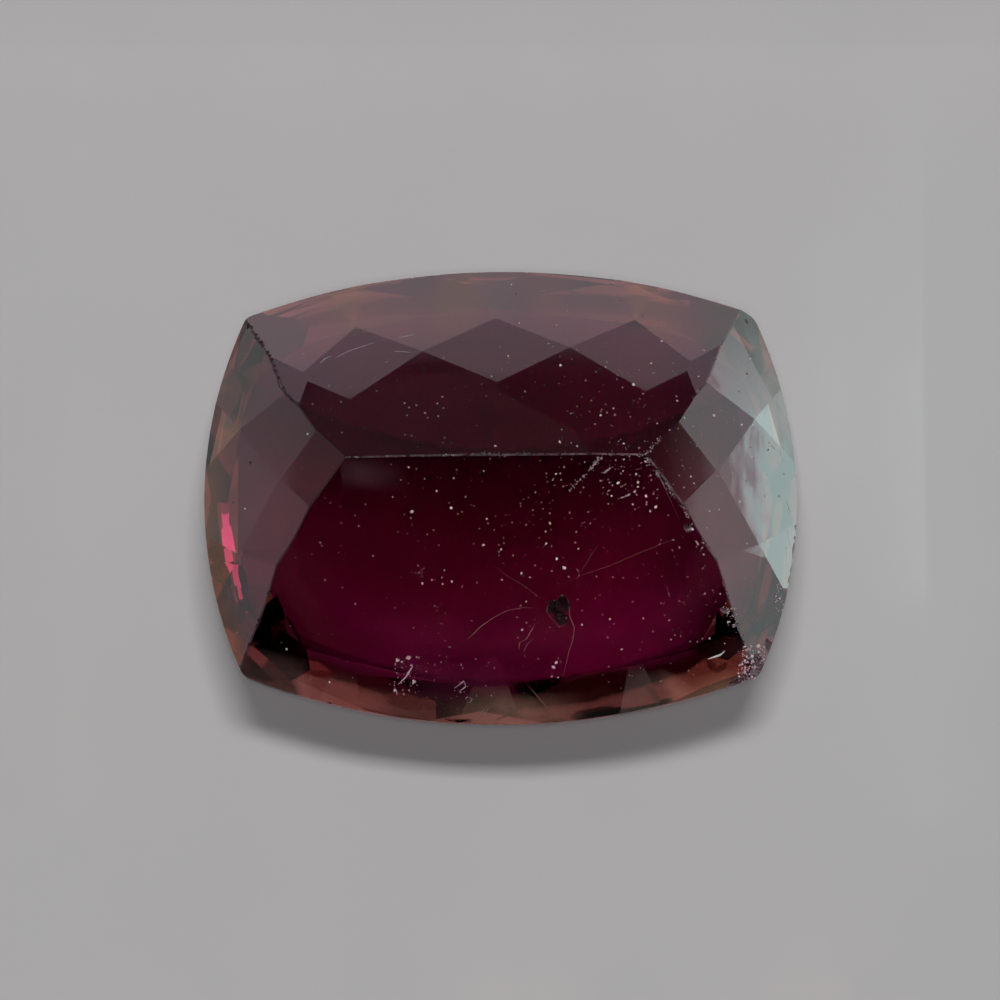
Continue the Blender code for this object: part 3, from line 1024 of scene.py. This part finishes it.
def front_haze(made, place):
    """A dull light in front of the stone, hazy in the middle, that veils its front edge."""
    left_lift = spread(made, along(made, place, (1, 0, 0)), -5.9 * MM, -5.6 * MM, 0.3 * MM, 0.0)
    right_lift = arithmetic(made, "MULTIPLY", window(made, place, (1, 0, 0), 3.0, 5.3, 0.4), 0.28 * MM)
    height = arithmetic(made, "SUBTRACT", along(made, place, (0, 0, 1)), left_lift)
    height = arithmetic(made, "SUBTRACT", height, right_lift)
    height = spread(made, height, 2.45 * MM, 2.85 * MM)
    aside = spread(made, along(made, place, (1, 0, 0)), -10 * MM, 10 * MM)
    haze = shades(made, aside, [
        (0.218, (0.06, 0.035, 0.032)),
        (0.226, (0.016, 0.016, 0.015)),
        (0.255, (0.03, 0.02, 0.018)),
        (0.28, (0.09, 0.033, 0.029)),
        (0.34, (0.09, 0.033, 0.029)),
        (0.37, (0.014, 0.013, 0.012)),
        (0.42, (0.04, 0.02, 0.018)),
        (0.465, (0.12, 0.065, 0.052)),
        (0.5, (0.2, 0.11, 0.085)),
        (0.57, (0.16, 0.08, 0.062)),
        (0.6, (0.01, 0.008, 0.007)),
        (0.635, (0.012, 0.01, 0.01)),
        (0.665, (0.06, 0.045, 0.04)),
        (0.7, (0.07, 0.055, 0.048)),
        (0.74, (0.06, 0.04, 0.037)),
        (0.755, (0.22, 0.11, 0.075)),
        (0.81, (0.22, 0.11, 0.075)),
        (0.83, (0.016, 0.013, 0.012)),
    ])
    clouds = grain(made, place, 0.8 * MM, 4.0, stretch=(1, 1, 2))
    haze = times(made, haze, shades(made, clouds, [(0.3, 0.5), (0.7, 1.0)]))
    haze = times(made, haze, shades(made, height, [(0.0, 1.0), (1.0, 0.0)]))
    for low, high, shade in MAROON_GLIMMERS:
        aside = window(made, place, (1, 0, 0), low, high, 0.8)
        above = window(made, place, (0, 0, 1), 2.5, 3.5, 0.25)
        maroon = shades(made, arithmetic(made, "MULTIPLY", aside, above), [(0.0, 0.0), (1.0, shade)])
        haze = add_node(made, "VectorMath", {0: haze, 1: maroon}, operation="ADD").outputs["Vector"]
    return haze


def veil(made, place):
    """A faint light overhead, which the keel's left end shows as a soft band."""
    aside = window(made, place, (1, 0, 0), -6.9, -4.9, 0.95)
    along_keel = window(made, place, (0, 1, 0), -14.9, -13.5, 0.6)
    both = arithmetic(made, "MULTIPLY", aside, along_keel)
    return shades(made, both, [(0.0, 0.0), (1.0, (0.023, 0.02, 0.021))])


def back_side(made, place):
    """The back of the room: dimmer upwards, rosy low down, with soft green and brown patches there."""
    height = along(made, place, (0, 0, 1))
    level = shades(made, spread(made, height, 0, 4.4 * MM), [
        (0.0, 0.095),
        (0.27, 0.095),
        (0.39, 0.085),
        (0.5, 0.066),
        (0.75, 0.058),
        (0.955, 0.006),
    ])
    clouds = grain(made, place, 2.5 * MM, 2.0, stretch=(1, 1, 0.5))
    rosy = shades(made, clouds, [
        (0.36, (1.12, 1.02, 1.06)),
        (0.5, (1.36, 0.98, 1.1)),
        (0.64, (1.5, 1.06, 1.0)),
    ])
    tint = blend(made, spread(made, height, 1.4 * MM, 2.2 * MM), rosy, (1.2, 1.0, 1.12, 1))
    return times(made, level, tint)


def upper_back(made, place):
    """The dim light above the back card; it is dimmer past a slanting border."""
    past = spread(made, along(made, place, (1, 0, -1.3)), -6.2 * MM, -5.7 * MM)
    return shades(made, past, [(0.0, (0.0105, 0.0085, 0.0098)), (1.0, (0.005, 0.004, 0.0047))])


def left_side(made, place):
    """The left side of the room: dimmer upwards, and warm in patches near the floor."""
    height = along(made, place, (0, 0, 1))
    level = shades(made, spread(made, height, 0, 4 * MM), [
        (0.0, 0.06),
        (0.2, 0.054),
        (0.8, 0.043),
        (0.9, 0.022),
    ])
    clouds = grain(made, place, 1.1 * MM, 2.0, stretch=(1, 1, 0.5))
    warm = shades(made, clouds, [(0.45, (1.0, 1.0, 1.0)), (0.55, (1.9, 1.3, 1.1))])
    tan = shades(made, clouds, [(0.35, (1.3, 0.82, 0.62)), (0.65, (1.9, 1.1, 0.75))])
    toward_front = spread(made, along(made, place, (0, 1, 0)), -0.9 * MM, -0.3 * MM, 1.0, 0.0)
    low_tint = blend(made, toward_front, warm, tan)
    tint = blend(made, spread(made, height, 0.6 * MM, 1.0 * MM), low_tint, (1.18, 1.02, 1.1, 1))
    return times(made, level, tint)


def near_side(made, place):
    """The lower part of the bright side, nearer to the stone."""
    streaks = shades(made, grain(made, place, 0.3 * MM, 3.0, stretch=(1, 0.4, 1)), [(0.3, 0.75), (0.7, 1.1)])
    level = shades(made, spread(made, along(made, place, (0, 1, 0)), 1 * MM, 5 * MM), [
        (0.0, (0.2, 0.24, 0.235)),
        (0.4, (0.19, 0.22, 0.215)),
        (0.6, (0.12, 0.135, 0.13)),
        (1.0, (0.1, 0.11, 0.108)),
    ])
    return times(made, level, streaks)


def make_cards():
    steps = ((0, 1.0), (3.0, 1.0), (3.5, 0.28), (3.9, 0.14), (4.2, 0.04))
    bright_low = by_height(*steps, color=(1.05, 1.12, 1.12))
    card("front_card", (-10, -9.1, 0), (10, -9, 3.6), front_haze)
    card("veil_card", (-7, -15, 14), (-4.8, -13.4, 14.05), veil)
    card("near_pale_card", (6.2, 0.8, 0), (6.22, 5.4, 1.12), near_side)
    card("back_card", (-14, 9, 0), (14, 9.1, 4.4), back_side)
    card("upper_back_card", (-14, 9, 4.4), (14, 9.1, 12), upper_back)
    card("left_card", (-8.1, -6, 0), (-8, 9, 12), left_side)
    card("right_card", (8, -6, 0), (8.1, 9, 12), bright_low)
    card("pale_card", (7.9, -1.6, 0), (7.95, 9, 1.9), pale_side)
    for name, low, high, strength in FLASH_CARDS:
        pink = by_height((0, strength), (2, strength), color=(26.0, 12.0, 44.0))
        card(name, (8.0, *low), (8.02, *high), pink, seen="transmission")


def make_world():
    """A weak room light, and a dome that shows only through the stone."""
    world = bpy.data.worlds.new("studio")
    bpy.context.scene.world = world
    world.use_nodes = True
    world.cycles_visibility.glossy = False
    way = add_node(world, "LightPath")
    toward = add_node(world, "TexCoord").outputs["Generated"]
    dome = shades(world, along(world, toward, (0, 0, 1)), DOME)
    through_stone = arithmetic(world, "GREATER_THAN", way.outputs["Transmission Depth"], 2.5)
    off_floor = arithmetic(world, "GREATER_THAN", way.outputs["Diffuse Depth"], 0.5)
    under_stone = arithmetic(world, "MULTIPLY", through_stone, off_floor)
    body_light = (BODY_LIGHT, BODY_LIGHT, BODY_LIGHT, 1)
    ambient = (AMBIENT, AMBIENT, AMBIENT, 1)
    through = blend(world, under_stone, dome, body_light)
    room = blend(world, way.outputs["Is Transmission Ray"], ambient, through)
    world.node_tree.links.new(room, world.node_tree.nodes["Background"].inputs["Color"])


def make_lights():
    area_light("softbox", *SOFTBOX)
    area_light("fill", *FILL_LIGHT)
    make_cards()
    make_world()


def set_render_look():
    scene = bpy.context.scene
    scene.view_settings.view_transform = "Standard"
    scene.cycles.max_bounces = 24
    scene.cycles.glossy_bounces = 16
    scene.cycles.transmission_bounces = 24


dice = random.Random(SEED)
make_camera()
make_floor()
make_lights()
make_flaws(make_stone())
set_render_look()
